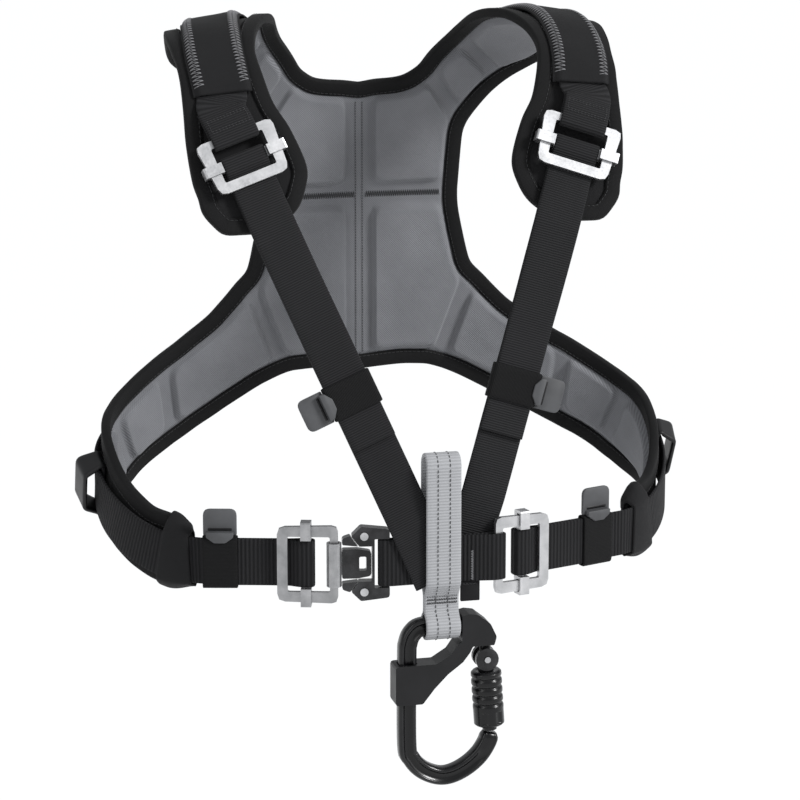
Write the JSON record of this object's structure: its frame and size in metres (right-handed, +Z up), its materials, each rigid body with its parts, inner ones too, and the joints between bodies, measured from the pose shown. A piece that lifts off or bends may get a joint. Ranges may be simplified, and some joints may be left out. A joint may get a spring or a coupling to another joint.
{
  "type": "climbing chest harness",
  "caption": "Padded chest harness in its worn form, with crossed webbing, ladder-lock adjusters, a side-release buckle and a locking carabiner on a sternal loop",
  "frame": {"origin": "midway between the two shoulder crests, where the harness hangs on its wearer", "axes": "+Z up, -Y to the front (breastbone side), +X to the viewer's right when seen from the front"},
  "size_m": [0.4046, 0.2119, 0.4829],
  "materials": {
    "grey_cloth": "fine grey mesh over closed-cell foam",
    "black_cloth": "matt black woven tape and elastic",
    "black_webbing": "ribbed black webbing",
    "grey_webbing": "light grey webbing with dark stitching",
    "steel": "satin steel",
    "black_metal": "black satin anodised",
    "black_plastic": "matt black",
    "grey_plastic": "soft grey tab"
  },
  "bodies": {
    "harness": {"pad": "grey_cloth", "pad_binding": "black_cloth", "chest_adjuster_left": "steel", "chest_adjuster_bar_left": "steel", "shoulder_buckle_left": "steel", "shoulder_buckle_bar_left": "steel", "chest_adjuster_right": "steel", "chest_adjuster_bar_right": "steel", "shoulder_buckle_right": "steel", "shoulder_buckle_bar_right": "steel", "shoulder_webbing_left": "black_webbing", "shoulder_webbing_right": "black_webbing", "shoulder_sleeve_left": "black_cloth", "shoulder_sleeve_right": "black_cloth", "v_strap_left": "black_webbing", "v_strap_right": "black_webbing", "v_keeper_left": "black_cloth", "v_keeper_tab_left": "grey_plastic", "v_keeper_right": "black_cloth", "v_keeper_tab_right": "grey_plastic", "chest_webbing": "black_webbing", "chest_keeper_left": "black_cloth", "chest_keeper_tab_left": "grey_plastic", "chest_keeper_right": "black_cloth", "chest_keeper_tab_right": "grey_plastic", "wing_sleeve_left": "black_cloth", "wing_sleeve_right": "black_cloth", "side_loop_left": "black_plastic", "side_loop_right": "black_plastic", "quick_body": "black_metal", "quick_tongue": "black_metal", "quick_link": "steel", "quick_lever_upper": "black_metal", "quick_rivet_upper": "steel", "quick_lever_lower": "black_metal", "quick_rivet_lower": "steel", "front_webbing": "black_webbing", "sternal_loop": "grey_webbing", "end_tag": "black_cloth"},
    "carabiner": {"connector_body": "black_metal", "connector_rivet": "steel", "positioning_bar": "black_plastic"},
    "gate": {"connector_gate": "black_metal"},
    "lock_sleeve": {"connector_sleeve": "black_metal"}
  },
  "joints": [
    {"name": "carabiner_swing", "type": "hinge", "parent": "harness", "child": "carabiner", "pos_m": [0.0073, -0.1215, -0.37], "axis": [1, 0, 0], "range_deg": [-80, 15]},
    {"name": "gate_hinge", "type": "hinge", "parent": "carabiner", "child": "gate", "pos_m": [0.0364, -0.1215, -0.3934], "axis": [0, 1, 0], "range_deg": [0, 22], "stiffness_Nm_per_rad": 0.1, "springref_deg": -11.46},
    {"name": "sleeve_turn", "type": "hinge", "parent": "gate", "child": "lock_sleeve", "pos_m": [0.0364, -0.1215, -0.3934], "axis": [-0.0698, 0, 0.9976], "range_deg": [0, 90], "stiffness_Nm_per_rad": 0.02, "springref_deg": -11.46}
  ]
}
